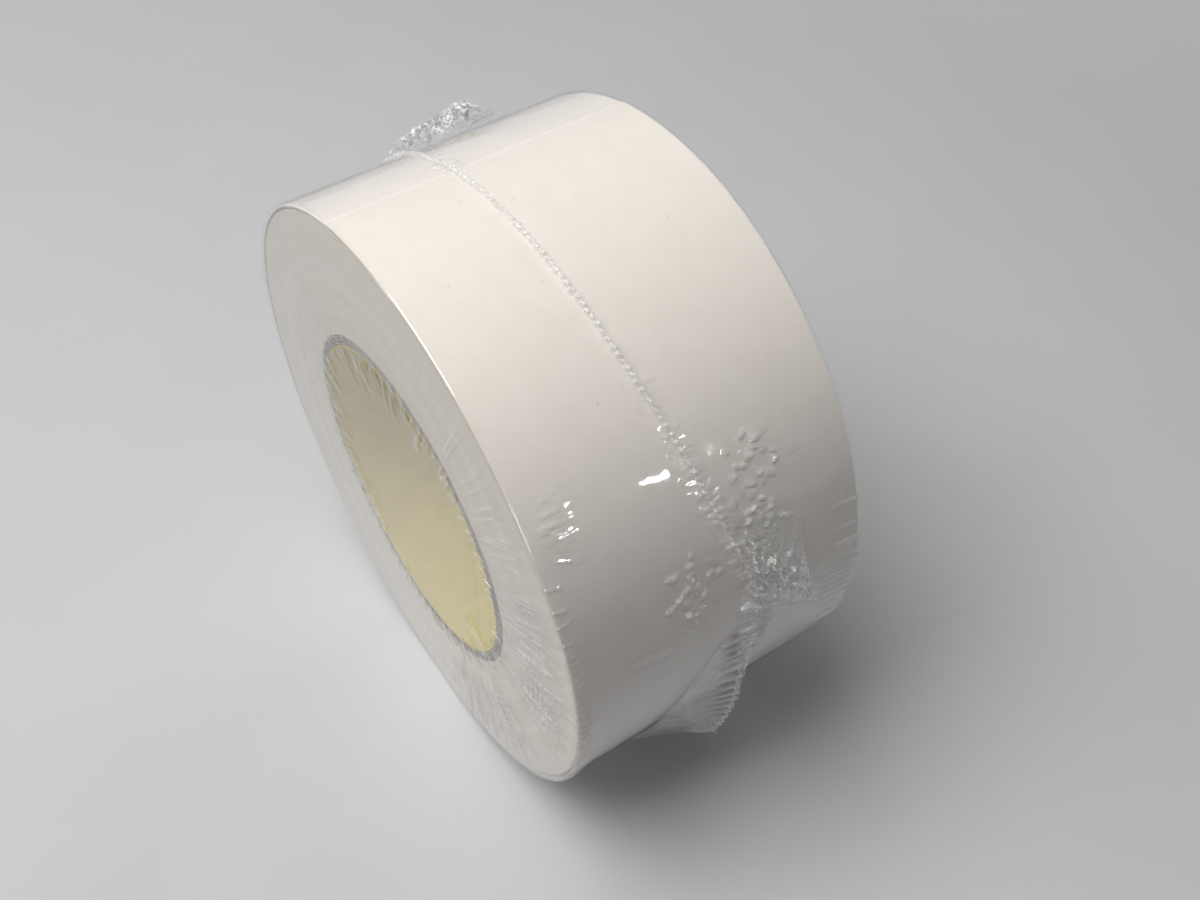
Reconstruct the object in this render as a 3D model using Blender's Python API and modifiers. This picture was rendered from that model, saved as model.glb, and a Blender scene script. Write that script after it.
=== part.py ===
"""A roll of splicing tape on a spiral-wound board core, sealed in shrink film and standing on its rim.

Metres, +Z up. Every piece is modelled round its own Z, the roll's axis, with the front end up. One empty
then turns the whole roll up on its rim: the axis lies along Y, the front end faces -Y, and the origin is on
the base flat, under the middle of the roll. Angles go round the axis from +X towards the top of the roll.
"""

import math

import bmesh
import bpy
import numpy as np

# Tape and liner
TAPE_WIDTH = 0.0710
ROLL_DIAMETER = 0.1410
LINER_THICKNESS = 0.00012
TAPE_THICKNESS = 0.00010
TURN_GROWTH = 0.00022
TAIL_ANGLE = math.radians(105.5)
TAIL_OPENING = 0.0006

# Core
CORE_BORE = 0.0762
LINING_THICKNESS = 0.0002
PLY_THICKNESS = 0.00043
PLY_NAMES = ("core_ply_inner", "core_ply_middle", "core_ply_outer")
STRIP_LEAD = 0.110
STRIP_JOINT = 0.0005
FIRST_JOINT_ANGLE = math.radians(200)
JOINT_STAGGER = math.radians(75)

# Film
FILM_THICKNESS = 0.0002
FILM_CORNER = 0.0006
BASE_FLAT_DEPTH = 0.0005

# Trim seal: where it runs, as an angle in degrees and a distance behind mid width
SEAL_ROUTE = (
    (-165, -0.0040),
    (-120, 0.0020),
    (-70, 0.0038),
    (-34, 0.0042),
    (-14, 0.0045),
    (-2, 0.0066),
    (10, 0.0078),
    (30, 0.0018),
    (60, -0.0042),
    (100, -0.0067),
    (145, -0.0065),
)
SEAL_WIDTH = 0.0007
SEAL_HEIGHT = 0.0009

# Fin: the stretch of the seal that stands up to a peak at the lower corner
FIN_HEIGHT = 0.0090
FIN_PEAK = math.radians(-34)
FIN_REACH = math.radians(32)
FIN_PLEATS = 72
FIN_PLEAT_SWING = 0.0009

# Corner ears: angles in degrees of the two ends of the root and of the tip's edge, how far the root slants
# away from the seal, and how far the tip is behind the seal and lifted off the rim
EARS = {
    "film_ear_upper": dict(root=(116, 136), slant=0, tip=(124, 131), tip_behind=0.0235, lift=0.0055),
    "film_ear_right": dict(root=(31, 9), slant=0, tip=(22.5, 4.7), tip_behind=0.0160, lift=0.0012),
    "film_ear_lower": dict(root=(-5, -38), slant=-0.0205, tip=(-33, -35), tip_behind=-0.0028, lift=0.0082),
    "film_ear_back": dict(root=(-146, -172), slant=0, tip=(-158, -171), tip_behind=0.0190, lift=0.0022),
}
EAR_PLEATS = 5
EAR_PLEAT_HEIGHT = 0.0008
EAR_THICKNESS = 0.0003

# Fits
CLEARANCE = 0.0003
TURN_CLEARANCE = 0.0002
SEAL_FLOOR_GAP = 0.0001
CUTTER_OVERRUN = 0.002
MERGE_DISTANCE = 0.00001

# Facets
RIM_STEPS = 80
CORNER_STEPS = 3
BAND_ROWS = 2
CORE_STEPS = 60
JOINT_STEPS = 30
FIN_STEPS = 3 * FIN_PLEATS
SEAL_SIDES = 6
EAR_ROWS = 6
EAR_COLUMNS = 4 * EAR_PLEATS
SHADE_ANGLE = math.radians(35)

# Sizes that follow from those above
ROLL_RADIUS = ROLL_DIAMETER / 2
HALF_WIDTH = TAPE_WIDTH / 2
FILM_INSIDE = ROLL_RADIUS + CLEARANCE
FILM_OUTSIDE = FILM_INSIDE + FILM_THICKNESS
FILM_END = HALF_WIDTH + CLEARANCE + FILM_THICKNESS
FLAT_HALF_ANGLE = math.acos(1 - BASE_FLAT_DEPTH / FILM_OUTSIDE)
AXIS_HEIGHT = FILM_OUTSIDE - BASE_FLAT_DEPTH
LINING_RADIUS = CORE_BORE / 2
PLY_RADIUS = LINING_RADIUS + LINING_THICKNESS + CLEARANCE
PLY_STEP = PLY_THICKNESS + CLEARANCE
TAPE_TURN_RADIUS = ROLL_RADIUS - LINER_THICKNESS - TURN_CLEARANCE
WINDING_INSIDE = PLY_RADIUS + len(PLY_NAMES) * PLY_STEP
WINDING_OUTSIDE = TAPE_TURN_RADIUS - TAPE_THICKNESS - TURN_GROWTH - CLEARANCE

for old in list(bpy.data.objects):
    bpy.data.objects.remove(old, do_unlink=True)

roll = bpy.data.collections.new("splicing_tape_roll")
cutters = bpy.data.collections.new("cutters")
bpy.context.scene.collection.children.link(roll)
bpy.context.scene.collection.children.link(cutters)

axle = bpy.data.objects.new("roll_axis", None)
axle.location = (0, 0, AXIS_HEIGHT)
axle.rotation_euler = (math.pi / 2, 0, 0)
roll.objects.link(axle)


def material(name, colour, roughness, alpha=1.0):
    """A plain dielectric finish."""
    made = bpy.data.materials.new(name)
    made.use_nodes = True
    shader = made.node_tree.nodes["Principled BSDF"]
    shader.inputs["Base Color"].default_value = (*colour, 1)
    shader.inputs["Roughness"].default_value = roughness
    shader.inputs["Metallic"].default_value = 0
    shader.inputs["Alpha"].default_value = alpha
    return made


LINER_PAPER = material("white release paper", (0.84, 0.81, 0.75), 0.6)
TAPE_FILM = material("translucent adhesive tape", (0.78, 0.73, 0.62), 0.4)
TAPE_EDGE = material("edges of wound tape and paper", (0.66, 0.63, 0.56), 0.8)
CHIPBOARD = material("grey chipboard", (0.30, 0.29, 0.27), 0.9)
LINING_PAPER = material("yellow core paper", (0.62, 0.55, 0.14), 0.7)
SHRINK_FILM = material("clear shrink film", (0.92, 0.93, 0.94), 0.1, 0.25)


def add_piece(name, mesh, finish):
    """One object for a mesh, carried by the roll's axis."""
    piece = bpy.data.objects.new(name, mesh)
    piece.parent = axle
    roll.objects.link(piece)
    mesh.materials.append(finish)
    mesh.shade_smooth()
    mesh.set_sharp_from_angle(angle=SHADE_ANGLE)
    return piece


def add_cutter(name, mesh):
    """A tool body that is cut away and never shown."""
    cutter = bpy.data.objects.new(name, mesh)
    cutter.parent = axle
    cutter.hide_render = True
    cutter.display_type = "WIRE"
    cutters.objects.link(cutter)
    return cutter


def cut(piece, cutter):
    """Takes the cutter's space out of the piece."""
    difference = piece.modifiers.new("cut by " + cutter.name, "BOOLEAN")
    difference.operation = "DIFFERENCE"
    difference.object = cutter


def grid_mesh(name, columns, rows, place):
    """A grid whose points are put at place(column, row), an angle, a radius and a height on the axis."""
    grid = bmesh.new()
    bmesh.ops.create_grid(grid, x_segments=columns, y_segments=rows, size=1)
    for point in grid.verts:
        column = round((point.co.x + 1) / 2 * columns)
        row = round((point.co.y + 1) / 2 * rows)
        angle, radius, height = place(column, row)
        point.co = (radius * math.cos(angle), radius * math.sin(angle), height)
    bmesh.ops.remove_doubles(grid, verts=grid.verts, dist=MERGE_DISTANCE)
    mesh = bpy.data.meshes.new(name)
    grid.to_mesh(mesh)
    grid.free()
    return mesh


def thicken(piece, thickness):
    """Gives a sheet its thickness, half on each side."""
    wall = piece.modifiers.new("thickness", "SOLIDIFY")
    wall.thickness = thickness
    wall.offset = 0
    wall.use_even_offset = True


def turned_ring(name, inside, outside, steps, finish):
    """A plain ring as wide as the tape, turned from the rectangle of its wall."""
    corners = (
        (outside, HALF_WIDTH),
        (outside, -HALF_WIDTH),
        (inside, -HALF_WIDTH),
        (inside, HALF_WIDTH),
    )
    mesh = bpy.data.meshes.new(name)
    profile = bmesh.new()
    points = [profile.verts.new((radius, 0, height)) for radius, height in corners]
    for start, end in zip(points, points[1:] + points[:1]):
        profile.edges.new((start, end))
    profile.to_mesh(mesh)
    profile.free()
    ring = add_piece(name, mesh, finish)
    turn = ring.modifiers.new("turned", "SCREW")
    turn.axis = "Z"
    turn.steps = steps
    turn.render_steps = steps
    turn.use_merge_vertices = True
    turn.merge_threshold = MERGE_DISTANCE
    return ring


def add_strip_joint(ring, inside, outside, start):
    """Opens the helical butt joint of the strip that a core ply is wound from."""
    half_span = HALF_WIDTH + CUTTER_OVERRUN

    def place(column, row):
        height = half_span * (2 * column / JOINT_STEPS - 1)
        angle = start + 2 * math.pi * height / STRIP_LEAD
        radius = (inside - CUTTER_OVERRUN, outside + CUTTER_OVERRUN)[row]
        return angle, radius, height

    blade_name = ring.name + "_joint"
    blade = add_cutter(blade_name, grid_mesh(blade_name, JOINT_STEPS, 1, place))
    thicken(blade, STRIP_JOINT)
    cut(ring, blade)


# Angles of the rim's facets. They leave out the stretch under the roll, which one facet closes as the base
# flat.
RIM_ANGLES = np.linspace(
    FLAT_HALF_ANGLE - math.pi / 2,
    3 * math.pi / 2 - FLAT_HALF_ANGLE,
    RIM_STEPS + 1,
)


def add_last_turn(name, outside, thickness, finish):
    """One turn of a wound web. Its radius grows by the winding's pitch, so that its tail ends a step up."""
    opening = TAIL_OPENING / outside
    onward = np.sort((RIM_ANGLES - TAIL_ANGLE) % (2 * math.pi))
    onward = onward[(onward > 2 * opening) & (onward < 2 * math.pi - 2 * opening)]
    angles = TAIL_ANGLE + np.concatenate(([opening], onward, [2 * math.pi - opening]))

    def place(column, row):
        turned = (angles[column] - TAIL_ANGLE) / (2 * math.pi)
        radius = outside - thickness / 2 - TURN_GROWTH * (1 - turned)
        return angles[column], radius, HALF_WIDTH * (2 * row - 1)

    turn = add_piece(name, grid_mesh(name, len(angles) - 1, 1, place), finish)
    thicken(turn, thickness)


def seal_line(angle):
    """Distance of the trim seal behind mid width: a smooth closed curve through its route."""
    stops = np.radians([stop for stop, _ in SEAL_ROUTE])
    offsets = np.array([offset for _, offset in SEAL_ROUTE])
    turned = (angle - stops[0]) % (2 * math.pi)
    gaps = np.diff(np.append(stops, stops[0] + 2 * math.pi))
    at = int(np.searchsorted(stops - stops[0], turned, side="right")) - 1
    before, start, end, after = (offsets[(at + step) % len(stops)] for step in (-1, 0, 1, 2))
    span = gaps[at]
    rise_in = (end - before) / (gaps[at - 1] + span) * span
    rise_out = (after - start) / (span + gaps[(at + 1) % len(stops)]) * span
    share = (turned - (stops[at] - stops[0])) / span
    return (
        start * (1 + 2 * share) * (1 - share) ** 2
        + rise_in * share * (1 - share) ** 2
        + end * share**2 * (3 - 2 * share)
        - rise_out * share**2 * (1 - share)
    )


def floor_radius(angle):
    """Distance from the axis to just above the floor along an angle, or no limit where that points up."""
    down = -math.sin(angle)
    return (AXIS_HEIGHT - SEAL_FLOOR_GAP) / down if down > 0 else math.inf


def add_film_panel(name, side):
    """A web of film drawn over one end and down the rim to the seal. side is 1 in front, -1 behind."""
    middle = FILM_OUTSIDE - FILM_THICKNESS / 2
    end = FILM_END - FILM_THICKNESS / 2
    columns = len(RIM_ANGLES)
    seal_gap = SEAL_WIDTH / 2 + CLEARANCE

    def place(column, row):
        angle = RIM_ANGLES[column % columns]
        bend = min(max(row - 1, 0) / CORNER_STEPS, 1) * math.pi / 2
        radius = 0 if row == 0 else middle - FILM_CORNER * (1 - math.sin(bend))
        rim = side * (end - FILM_CORNER * (1 - math.cos(bend)))
        edge = -seal_line(angle) + side * seal_gap
        down = max(row - 1 - CORNER_STEPS, 0) / BAND_ROWS
        return angle, radius, rim + (edge - rim) * down

    rows = 1 + CORNER_STEPS + BAND_ROWS
    panel = add_piece(name, grid_mesh(name, columns, rows, place), SHRINK_FILM)
    thicken(panel, FILM_THICKNESS)


def add_trim_seal(name):
    """The welded seam: a thin bead round the rim that rises into a pleated fin at the lower corner."""
    foot = FILM_OUTSIDE - FILM_THICKNESS
    tube = 0.25
    bpy.ops.mesh.primitive_torus_add(
        major_segments=FIN_STEPS, minor_segments=SEAL_SIDES, major_radius=1, minor_radius=tube
    )
    ring = bpy.context.object
    mesh = ring.data
    bpy.data.objects.remove(ring)
    for point in mesh.vertices:
        x, y, z = point.co
        angle = math.atan2(y, x)
        up = (math.hypot(x, y) - 1) / tube
        across = z / tube
        swell = max(0, 1 - abs(angle - FIN_PEAK) / FIN_REACH)
        crest = FILM_OUTSIDE + SEAL_HEIGHT + (FIN_HEIGHT - SEAL_HEIGHT) * swell
        crest = min(crest, floor_radius(angle))
        low = min(foot, floor_radius(angle) - FILM_THICKNESS)
        radius = low + (crest - low) * (up + 1) / 2
        proud = max(0, radius - FILM_OUTSIDE - CLEARANCE)
        sway = FIN_PLEAT_SWING * math.sin(FIN_PLEATS * angle) * min(1, proud / SEAL_HEIGHT) * swell
        height = -seal_line(angle) + across * SEAL_WIDTH / 2 + sway
        point.co = (radius * math.cos(angle), radius * math.sin(angle), height)
    add_piece(name, mesh, SHRINK_FILM)


def add_ear(name, root, slant, tip, tip_behind, lift):
    """A gathered corner of the pouch: a pleated flap from its root beside the seal out to its tip's edge."""
    first, last, tip_first, tip_last = np.radians((*root, *tip))
    rest = FILM_OUTSIDE + CLEARANCE + EAR_THICKNESS / 2
    beside = SEAL_WIDTH / 2 + CLEARANCE + EAR_THICKNESS + FIN_PLEAT_SWING
    beside = math.copysign(beside, tip_behind)
    tip_place = seal_line((first + last) / 2) + tip_behind

    def place(column, row):
        along = column / EAR_COLUMNS
        out = row / EAR_ROWS
        start = first + (last - first) * along
        end = tip_first + (tip_last - tip_first) * along
        angle = start + (end - start) * out
        pleat = abs(2 * ((EAR_PLEATS * along) % 1) - 1)
        radius = rest + lift * out + EAR_PLEAT_HEIGHT * pleat * (1 - out)
        start_place = seal_line(start) + beside + slant * along
        behind = start_place + (tip_place - start_place) * out
        return angle, min(radius, floor_radius(angle) - EAR_THICKNESS), -behind

    ear = add_piece(name, grid_mesh(name, EAR_COLUMNS, EAR_ROWS, place), SHRINK_FILM)
    thicken(ear, EAR_THICKNESS)


# Core: the yellow lining first, then the board plies over it, each with its joint turned on from the last
lining_outside = LINING_RADIUS + LINING_THICKNESS
lining = turned_ring("core_lining", LINING_RADIUS, lining_outside, CORE_STEPS, LINING_PAPER)
add_strip_joint(lining, LINING_RADIUS, lining_outside, FIRST_JOINT_ANGLE)
for layer, ply_name in enumerate(PLY_NAMES):
    ply_inside = PLY_RADIUS + layer * PLY_STEP
    ply_outside = ply_inside + PLY_THICKNESS
    ply = turned_ring(ply_name, ply_inside, ply_outside, CORE_STEPS, CHIPBOARD)
    add_strip_joint(ply, ply_inside, ply_outside, FIRST_JOINT_ANGLE + (layer + 1) * JOINT_STAGGER)

# Tape: the inner turns as one ring with its base flat, then the last turn of tape and of liner
winding = turned_ring("wound_tape", WINDING_INSIDE, WINDING_OUTSIDE, RIM_STEPS, TAPE_EDGE)
flat_block = bpy.data.meshes.new("base_flat_cutter")
block = bmesh.new()
bmesh.ops.create_cube(block, size=1)
block_depth = BASE_FLAT_DEPTH + CUTTER_OVERRUN
block_size = (ROLL_DIAMETER, block_depth, TAPE_WIDTH + 2 * CUTTER_OVERRUN)
bmesh.ops.scale(block, verts=block.verts, vec=block_size)
flat_distance = WINDING_OUTSIDE * math.cos(FLAT_HALF_ANGLE)
bmesh.ops.translate(block, verts=block.verts, vec=(0, -flat_distance - block_depth / 2, 0))
block.to_mesh(flat_block)
block.free()
cut(winding, add_cutter("base_flat_cutter", flat_block))
add_last_turn("tape_last_turn", TAPE_TURN_RADIUS, TAPE_THICKNESS, TAPE_FILM)
add_last_turn("liner_last_turn", ROLL_RADIUS, LINER_THICKNESS, LINER_PAPER)

# Film: two panels, the seal between them, and the four corners of the pouch
add_film_panel("film_front_panel", 1)
add_film_panel("film_rear_panel", -1)
add_trim_seal("film_trim_seal")
for ear_name, ear_place in EARS.items():
    add_ear(ear_name, **ear_place)
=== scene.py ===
import math
import bmesh
import bpy
import numpy as np
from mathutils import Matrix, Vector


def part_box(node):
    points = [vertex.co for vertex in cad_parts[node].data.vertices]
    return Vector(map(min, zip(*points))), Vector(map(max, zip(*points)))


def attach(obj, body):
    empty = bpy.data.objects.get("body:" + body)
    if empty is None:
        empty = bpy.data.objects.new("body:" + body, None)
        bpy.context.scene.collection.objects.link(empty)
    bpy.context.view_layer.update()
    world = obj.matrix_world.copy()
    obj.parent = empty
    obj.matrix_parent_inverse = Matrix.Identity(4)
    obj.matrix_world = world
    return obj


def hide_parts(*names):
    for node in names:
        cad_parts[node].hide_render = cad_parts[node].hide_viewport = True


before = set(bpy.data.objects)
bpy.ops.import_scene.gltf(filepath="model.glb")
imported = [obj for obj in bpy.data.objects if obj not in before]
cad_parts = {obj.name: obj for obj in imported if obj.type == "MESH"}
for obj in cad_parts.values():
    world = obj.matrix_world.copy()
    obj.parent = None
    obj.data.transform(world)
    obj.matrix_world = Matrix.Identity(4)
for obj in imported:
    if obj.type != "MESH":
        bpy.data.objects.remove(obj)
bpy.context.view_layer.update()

# Core lining
# The innermost layer of the core is one strip of yellow paper, wound on a slant so that its edges meet in a
# helix. It is glued to the board round it and trimmed with it, so its two ends are cut square.

core_low, core_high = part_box("core_lining")
AXIS_HEIGHT = (core_low.z + core_high.z) / 2
HALF_WIDTH = core_high.y
LINING_OUTSIDE = core_high.x
LINING_THICKNESS = 0.0002
STRIP_LEAD = 0.110
STRIP_JOINT = 0.0002
FIRST_JOINT_ANGLE = math.radians(200)
STRIP_EASE = 0.00006
STRIP_COLUMNS = 241
STRIP_ROWS = 48
MERGE_DISTANCE = 0.0000001
FLECK_SPACING = 0.0065
PAPER_IOR = 1.5


def on_roll(angle, radius, along):
    """Points round the roll's axis: a radius at an angle from +X towards the top, at a place along Y."""
    angle, radius, along = np.broadcast_arrays(angle, radius, along)
    return np.stack((radius * np.cos(angle), along, AXIS_HEIGHT + radius * np.sin(angle)), axis=-1)


def grid_mesh(name, points, round_columns=False, round_rows=False, caps=False, whitening_and_painted_shading=None):
    """A mesh from a grid of points, by column and row, with a face in each cell.

    A grid that goes round joins its last column or row to its first, and caps fill both ends of a
    tube. The faces are turned over if the volume that they span with the roll's centre comes out negative,
    by the sum of a . (b x c) over the triangles of each cell. Each point can be given a share of whitening
    and of painted shade and highlight, kept as an attribute under the argument's name. Points that coincide,
    as at a pole, are then merged.
    """
    columns, rows = points.shape[:2]
    number = np.arange(columns * rows).reshape(columns, rows)
    if round_columns:
        number = np.concatenate((number, number[:1]))
    if round_rows:
        number = np.concatenate((number, number[:, :1]), axis=1)
    corners = (number[:-1, :-1], number[1:, :-1], number[1:, 1:], number[:-1, 1:])
    quads = np.stack(corners, axis=-1).reshape(-1, 4)
    places = points.reshape(-1, 3)
    a, b, c, d = (places[quads[:, corner]] - (0, 0, AXIS_HEIGHT) for corner in range(4))
    volume = np.sum(a * np.cross(b, c)) + np.sum(a * np.cross(c, d))
    faces = quads.tolist()
    if caps:
        faces += [number[0, :rows].tolist(), number[columns - 1, :rows][::-1].tolist()]
    if volume < 0:
        faces = [face[::-1] for face in faces]
    mesh = bpy.data.meshes.new(name)
    mesh.from_pydata(places.tolist(), [], faces)
    if whitening_and_painted_shading is not None:
        white_and_painted_shade_shares = mesh.attributes.new("whitening_and_painted_shading", "FLOAT", "POINT")
        white_and_painted_shade_shares.data.foreach_set("value", np.ascontiguousarray(whitening_and_painted_shading, dtype=np.float32).ravel())
    merged = bmesh.new()
    merged.from_mesh(mesh)
    bmesh.ops.remove_doubles(merged, verts=merged.verts, dist=MERGE_DISTANCE)
    merged.to_mesh(mesh)
    merged.free()
    return mesh


def add_piece(mesh, node, material, crease=40):
    """A shown piece that rides on the roll and stands for the CAD node of its name."""
    mesh.shade_smooth()
    mesh.set_sharp_from_angle(angle=math.radians(crease))
    mesh.materials.append(material)
    piece = bpy.data.objects.new(mesh.name, mesh)
    bpy.context.scene.collection.objects.link(piece)
    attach(piece, "root")
    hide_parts(node)
    return piece


def strip_tube(name, inside, thickness, start):
    """A tube wound from one strip.

    Its wall is a rectangle with eased corners, carried round the axis from one side of the strip's joint to
    the other, and turned back by one turn for each lead along the axis.
    """
    outside = inside + thickness
    face = np.linspace(-1, 1, STRIP_ROWS) * (HALF_WIDTH - STRIP_EASE)
    edge = np.full(2, HALF_WIDTH)
    eased = np.array((inside + STRIP_EASE, outside - STRIP_EASE))
    along = np.concatenate((face, edge, face[::-1], -edge))
    inner = np.full(STRIP_ROWS, inside)
    outer = np.full(STRIP_ROWS, outside)
    radius = np.concatenate((inner, eased, outer, eased[::-1]))
    joint = STRIP_JOINT / 2 / inside
    turned = np.linspace(joint, 2 * math.pi - joint, STRIP_COLUMNS)[:, None]
    return grid_mesh(
        name,
        on_roll(start + turned - 2 * math.pi * along / STRIP_LEAD, radius, along),
        round_rows=True,
        caps=True,
    )


def linear(code):
    """A colour written as sRGB hex, made linear: each channel as a fraction, with the sRGB curve undone."""
    channel = np.array([int(code[place : place + 2], 16) for place in (1, 3, 5)]) / 255
    return (*np.where(channel <= 0.04045, channel / 12.92, ((channel + 0.055) / 1.055) ** 2.4), 1)


def add_node(tree, kind, feeds, **settings):
    """Adds a shader node with its settings. Each input, by name or number, is fed a value or an output."""
    made = tree.nodes.new("ShaderNode" + kind)
    for name, value in settings.items():
        setattr(made, name, value)
    for key, value in feeds.items():
        if isinstance(value, bpy.types.NodeSocket):
            tree.links.new(value, made.inputs[key])
        else:
            made.inputs[key].default_value = value
    return made


def new_material(name):
    """An empty Principled material, with its tree, its shader and its Object coordinates."""
    made = bpy.data.materials.new(name)
    made.use_nodes = True
    tree = made.node_tree
    shader = tree.nodes["Principled BSDF"]
    place = tree.nodes.new("ShaderNodeTexCoord").outputs["Object"]
    return made, tree, shader, place


def paper_material(name, colour, shade, fleck, fibre, cloud, roughness):
    """Pressed paper: a pale cloudy sheet, with short fibres that catch the light and a few darker flecks.

    fibre and cloud are the sizes of the fibre clumps and of the sheet's cloudiness, in metres.
    """
    made, tree, shader, place = new_material(name)
    clouds = add_node(tree, "TexNoise", {"Vector": place, "Scale": 1 / cloud, "Detail": 4, "Roughness": 0.6})
    fibres = add_node(tree, "TexNoise", {"Vector": place, "Scale": 1 / fibre, "Detail": 6, "Roughness": 0.7})
    tone = add_node(tree, "Math", {0: clouds.outputs["Fac"], 1: fibres.outputs["Fac"]}, operation="ADD")
    spread = add_node(tree, "MapRange", {"Value": tone.outputs[0], "From Min": 0.75, "From Max": 1.25})
    blend = {0: spread.outputs[0], 6: linear(shade), 7: linear(colour)}
    sheet = add_node(tree, "Mix", blend, data_type="RGBA")
    specks = add_node(tree, "TexVoronoi", {"Vector": place, "Scale": 1 / FLECK_SPACING, "Randomness": 1})
    within = {"From Min": 0.018, "From Max": 0.034, "To Min": 0.7, "To Max": 0}
    speck = add_node(tree, "MapRange", {"Value": specks.outputs["Distance"], **within})
    blend = {0: speck.outputs[0], 6: sheet.outputs[2], 7: linear(fleck)}
    flecked = add_node(tree, "Mix", blend, data_type="RGBA")
    tree.links.new(flecked.outputs[2], shader.inputs["Base Color"])
    raised = {"Height": fibres.outputs["Fac"], "Strength": 0.25, "Distance": fibre / 6}
    bump = add_node(tree, "Bump", raised)
    tree.links.new(bump.outputs[0], shader.inputs["Normal"])
    shader.inputs["Roughness"].default_value = roughness
    shader.inputs["IOR"].default_value = PAPER_IOR
    return made


# Yellow dyed paper, calendered but not coated: even, a little cloudy, with a soft sheen
YELLOW_PAPER = paper_material("yellow core paper", "#E3D45C", "#D2C247", "#A08A2C", 0.0005, 0.006, 0.6)

lining_inside = LINING_OUTSIDE - LINING_THICKNESS
lining_mesh = strip_tube("core_lining_paper", lining_inside, LINING_THICKNESS, FIRST_JOINT_ANGLE)
add_piece(lining_mesh, "core_lining", YELLOW_PAPER)

# Core plies
# The wall of the core is three strips of grey board made from waste paper, wound on one another with their
# joints staggered and glued into one stiff tube. Only the cut ends show, as a grey ring round the bore.

PLY_NAMES = ("core_ply_inner", "core_ply_middle", "core_ply_outer")
PLY_THICKNESS = 0.00043
JOINT_STAGGER = math.radians(75)

# Grey chipboard, rough and absorbent: a dull grey with paler and darker shreds of old paper in it
GREY_BOARD = paper_material("grey chipboard", "#A09A91", "#7E7871", "#4E4943", 0.0004, 0.002, 0.85)

for layer, ply_name in enumerate(PLY_NAMES):
    ply_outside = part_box(ply_name)[1].x
    ply_start = FIRST_JOINT_ANGLE + (layer + 1) * JOINT_STAGGER
    ply_mesh = strip_tube(ply_name + "_board", ply_outside - PLY_THICKNESS, PLY_THICKNESS, ply_start)
    add_piece(ply_mesh, ply_name, GREY_BOARD)

# Wound body
# Some 140 turns of tape and paper liner, wound tight and slit to width. On the ends the edges of the turns
# show as fine rings, some a hair further out than others.

film_low, film_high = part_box("film_front_panel")
FILM_RADIUS = film_high.z - AXIS_HEIGHT
WINDING_CLEARANCE = 0.0003
WINDING_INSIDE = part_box("core_ply_outer")[1].x + WINDING_CLEARANCE
WINDING_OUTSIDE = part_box("wound_tape")[1].z - AXIS_HEIGHT
WINDING_COLUMNS = 360
WINDING_EASE = 0.0001
END_ROWS = 116
END_STEP = 0.00007
RING_STEP = 0.000025
RING_PITCH = 0.00088
EDGE_GRAIN = 0.0004


def settle(angle, radius):
    """A radius cut back where the roll rests: each depth in the roll has its own flat, in proportion."""
    flat = AXIS_HEIGHT * radius / FILM_RADIUS
    return np.minimum(radius, flat / np.maximum(-np.sin(angle), 0.5))


def swells(place, wave, count, seed):
    """A smooth random line: a sum of sines whose lengths lie round wave, scaled to about -1 to 1."""
    rng = np.random.default_rng(seed)
    lengths = wave * rng.uniform(0.6, 1.7, count)
    starts = rng.uniform(0, 2 * math.pi, count)
    total = sum(np.sin(2 * math.pi * place / length + start) for length, start in zip(lengths, starts))
    return total / math.sqrt(count / 2) / 2


def wound_body(name):
    """A ring turned from its wall.

    The ends step in and out with the radius by a smooth random line, and every fourth row stands proud, as
    a turn does. The first and last rows are eased back.
    """
    radius = np.linspace(WINDING_INSIDE, WINDING_OUTSIDE, END_ROWS)
    sunk = END_STEP * (1 + swells(radius, 0.009, 7, 3)) + RING_STEP * (np.arange(END_ROWS) % 4 > 0)
    sunk[[0, -1]] += WINDING_EASE
    wall_radius = np.concatenate((radius, radius[::-1]))
    wall_along = np.concatenate((sunk - HALF_WIDTH, (HALF_WIDTH - sunk)[::-1]))
    angle = np.linspace(0, 2 * math.pi, WINDING_COLUMNS, endpoint=False)[:, None]
    points = on_roll(angle, settle(angle, wall_radius), wall_along)
    return grid_mesh(name, points, round_columns=True, round_rows=True)


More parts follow.
